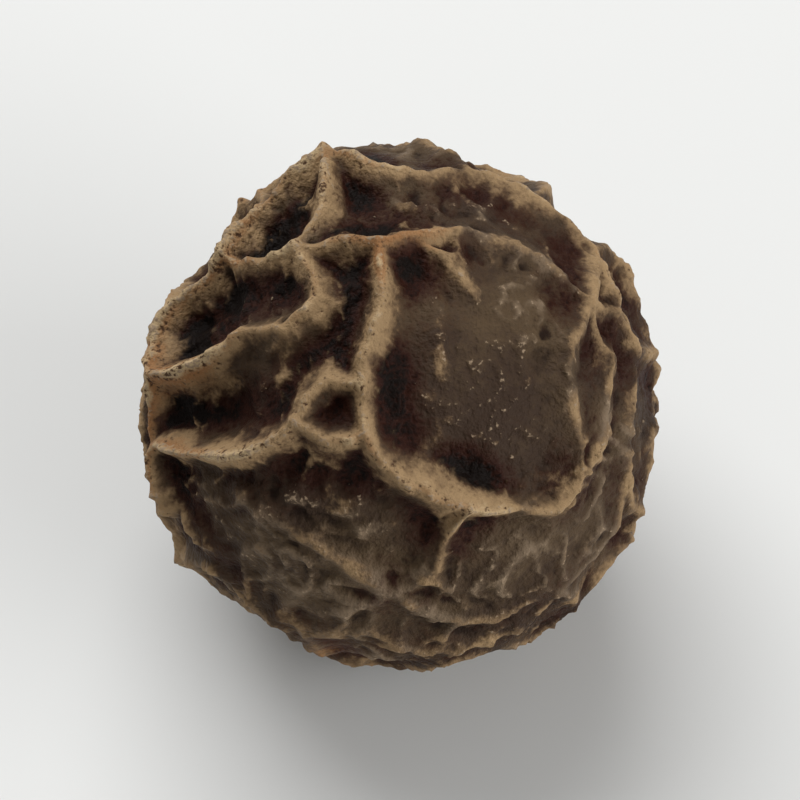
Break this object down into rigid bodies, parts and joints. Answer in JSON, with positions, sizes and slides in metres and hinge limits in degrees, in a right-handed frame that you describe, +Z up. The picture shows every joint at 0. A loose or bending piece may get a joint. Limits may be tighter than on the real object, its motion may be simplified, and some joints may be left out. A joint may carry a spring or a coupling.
{
  "type": "black peppercorn",
  "caption": "Round dried peppercorn with a raised net of wrinkled folds, sunken cells between them and a small flat scar that it rests on.",
  "frame": {"origin": "level of the flat scar underneath, under the middle of the berry's box", "axes": "+Z up out of the scar through the berry; -Y is the side seen in the picture, from 57 degrees above the horizon"},
  "size_m": [0.0052, 0.0054, 0.0054],
  "materials": {
    "dried_skin": "matte wrinkled dried skin, brown-black with paler crests"
  },
  "bodies": {
    "root": {"peppercorn": "dried_skin"}
  },
  "joints": []
}
